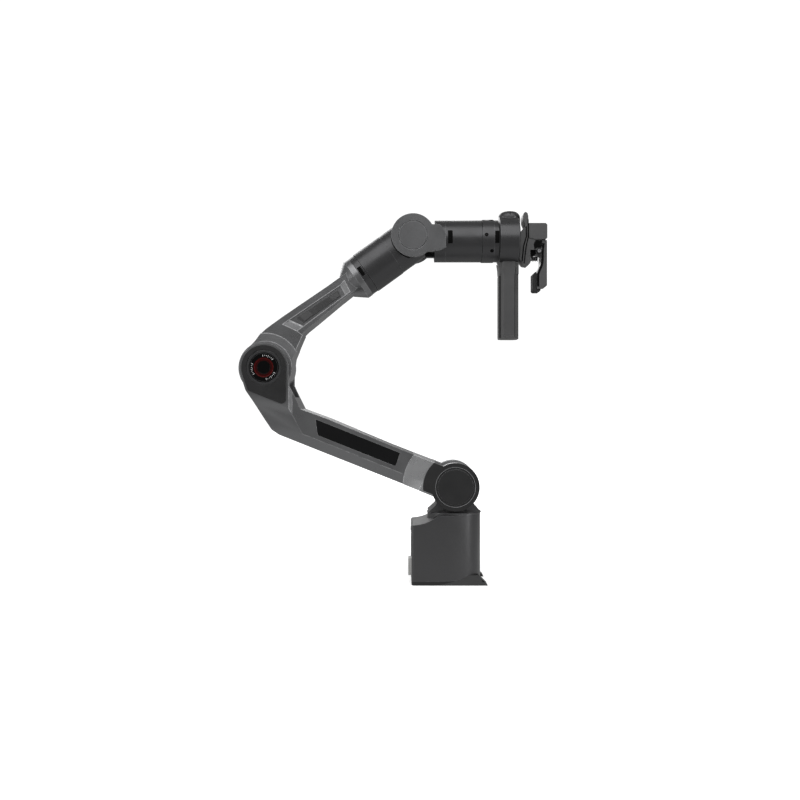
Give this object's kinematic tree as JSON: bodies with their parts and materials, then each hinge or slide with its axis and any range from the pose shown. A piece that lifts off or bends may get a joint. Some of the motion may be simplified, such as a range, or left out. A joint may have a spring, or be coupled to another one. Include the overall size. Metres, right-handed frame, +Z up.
{
  "type": "desktop robot arm",
  "caption": "Desktop robot arm with a bent upper arm, slim forearm, round wrist and a pistol grip with a trigger on the flange.",
  "frame": {"origin": "on the first axis, at the underside of the base", "axes": "+Z up, +X towards the front of the base, the way the handle points at rest"},
  "size_m": [0.3951, 0.08, 0.4775],
  "materials": {
    "arm_metal": "satin anodised dark grey",
    "light_metal": "satin, lighter grey",
    "dark_metal": "satin near-black",
    "black_plastic": "fine moulded texture",
    "pad_rubber": "matte",
    "panel_gloss": "polished black",
    "dial_red": "glossy, dark red ring",
    "button_grey": "satin",
    "bare_steel": "machined",
    "socket_plastic": "moulded",
    "board": "solder mask"
  },
  "bodies": {
    "base": {"base_housing": "dark_metal", "base_plate": "dark_metal", "rear_panel": "black_plastic", "power_socket": "socket_plastic", "data_socket": "bare_steel", "base_screws": "bare_steel", "base_motor": "bare_steel", "base_bearing": "bare_steel", "controller_board": "board"},
    "turret": {"turret_skirt": "dark_metal", "turret_hub": "bare_steel", "shoulder_drum": "black_plastic", "shoulder_motor": "bare_steel"},
    "upper_arm": {"shoulder_bracket": "light_metal", "upper_arm_frame": "arm_metal", "upper_arm_shell": "arm_metal", "shoulder_cover_left": "black_plastic", "shoulder_cover_right": "black_plastic", "shoulder_cap_left": "black_plastic", "shoulder_cap_right": "black_plastic", "elbow_cover_left": "black_plastic", "elbow_cover_right": "black_plastic", "elbow_ring_left": "arm_metal", "elbow_ring_right": "arm_metal", "elbow_lens_left": "dial_red", "elbow_lens_right": "dial_red", "side_panel_left": "panel_gloss", "side_panel_right": "panel_gloss", "elbow_shaft": "bare_steel", "driver_board": "board"},
    "forearm": {"elbow_hub": "black_plastic", "elbow_motor": "bare_steel", "forearm_shell": "arm_metal", "forearm_panel_left": "black_plastic", "forearm_panel_right": "black_plastic", "forearm_ring": "dark_metal", "roll_bearing": "bare_steel"},
    "roll": {"roll_housing": "dark_metal", "roll_motor": "bare_steel", "wrist_yoke": "dark_metal", "wrist_motor": "bare_steel"},
    "wrist": {"wrist_fork": "dark_metal", "wrist_cover_left": "arm_metal", "wrist_cover_right": "arm_metal", "wrist_housing": "dark_metal", "tool_motor": "bare_steel"},
    "handle": {"tool_flange": "dark_metal", "flange_screws": "bare_steel", "handle_collar": "dark_metal", "grip_left": "black_plastic", "grip_right": "black_plastic", "grip_cap": "black_plastic", "trigger_housing": "black_plastic", "trigger_block": "black_plastic", "encoder_board": "board", "trigger_pin": "bare_steel", "trigger_spring": "bare_steel"},
    "trigger": {"trigger_lever": "black_plastic", "trigger_pad": "pad_rubber"},
    "button": {"teach_button": "button_grey"}
  },
  "joints": [
    {"name": "base_yaw", "type": "hinge", "parent": "base", "child": "turret", "pos_m": [0, 0, 0.0875], "axis": [0, 0, 1], "range_deg": [-154, 154]},
    {"name": "shoulder_pitch", "type": "hinge", "parent": "turret", "child": "upper_arm", "pos_m": [0, 0, 0.123], "axis": [0, 1, 0], "range_deg": [-24, 171]},
    {"name": "elbow_pitch", "type": "hinge", "parent": "upper_arm", "child": "forearm", "pos_m": [-0.24169, 0, 0.27403], "axis": [0, -1, 0], "range_deg": [-33, 119]},
    {"name": "forearm_roll", "type": "hinge", "parent": "forearm", "child": "roll", "pos_m": [-0.25716, 0, 0.29555], "axis": [0.8121, 0, 0.5835], "range_deg": [-102, 102]},
    {"name": "wrist_pitch", "type": "hinge", "parent": "roll", "child": "wrist", "pos_m": [-0.05349, 0, 0.4419], "axis": [0, 1, 0], "range_deg": [-110, 39]},
    {"name": "tool_roll", "type": "hinge", "parent": "wrist", "child": "handle", "pos_m": [0.03525, 0, 0.43906], "axis": [1, 0, 0], "range_deg": [-120, 120]},
    {"name": "trigger_pull", "type": "hinge", "parent": "handle", "child": "trigger", "pos_m": [0.10905, 0, 0.42456], "axis": [0, 1, 0], "range_deg": [0, 15], "stiffness_Nm_per_rad": 0.3, "deforming": ["trigger_spring"]},
    {"name": "button_press", "type": "slide", "parent": "handle", "child": "button", "axis": [0, 0, -1], "range_m": [0, 0.0015], "stiffness_N_per_m": 400}
  ]
}
